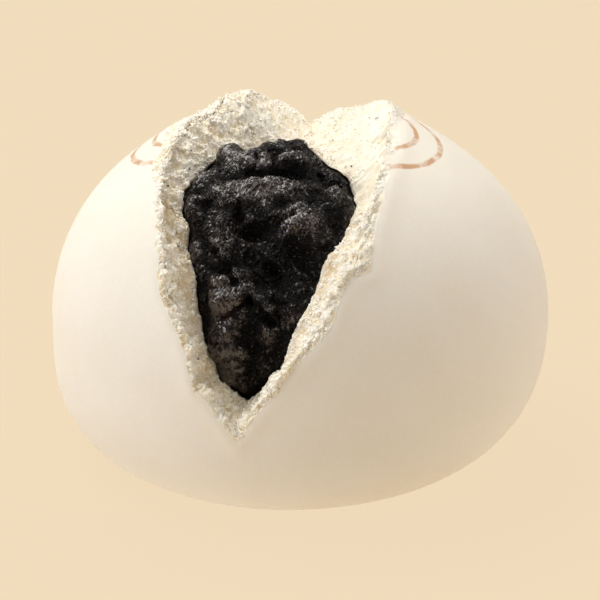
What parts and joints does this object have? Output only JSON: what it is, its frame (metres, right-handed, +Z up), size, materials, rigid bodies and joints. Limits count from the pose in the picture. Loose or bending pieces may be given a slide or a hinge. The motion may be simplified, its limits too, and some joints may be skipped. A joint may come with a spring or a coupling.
{
  "type": "steamed bean bun",
  "caption": "Round steamed wheat bun torn open at the top, with a craggy crumb wall and a core of dark sweet bean paste showing in the tear; it stands on a flat underside.",
  "frame": {"origin": "centre of the flat underside, at the bottom centre of the bounding box", "axes": "+X to the right across the torn face, +Y from the torn face to the back, +Z up"},
  "size_m": [0.09, 0.0852, 0.0635],
  "materials": {
    "dough": "soft matt cream-white steamed dough with a smooth skin and a rough, fluffy torn crumb",
    "bean_paste": "moist near-black bean paste with a grainy satin sheen"
  },
  "bodies": {
    "root": {"dough": "dough", "bean_paste": "bean_paste"}
  },
  "joints": []
}
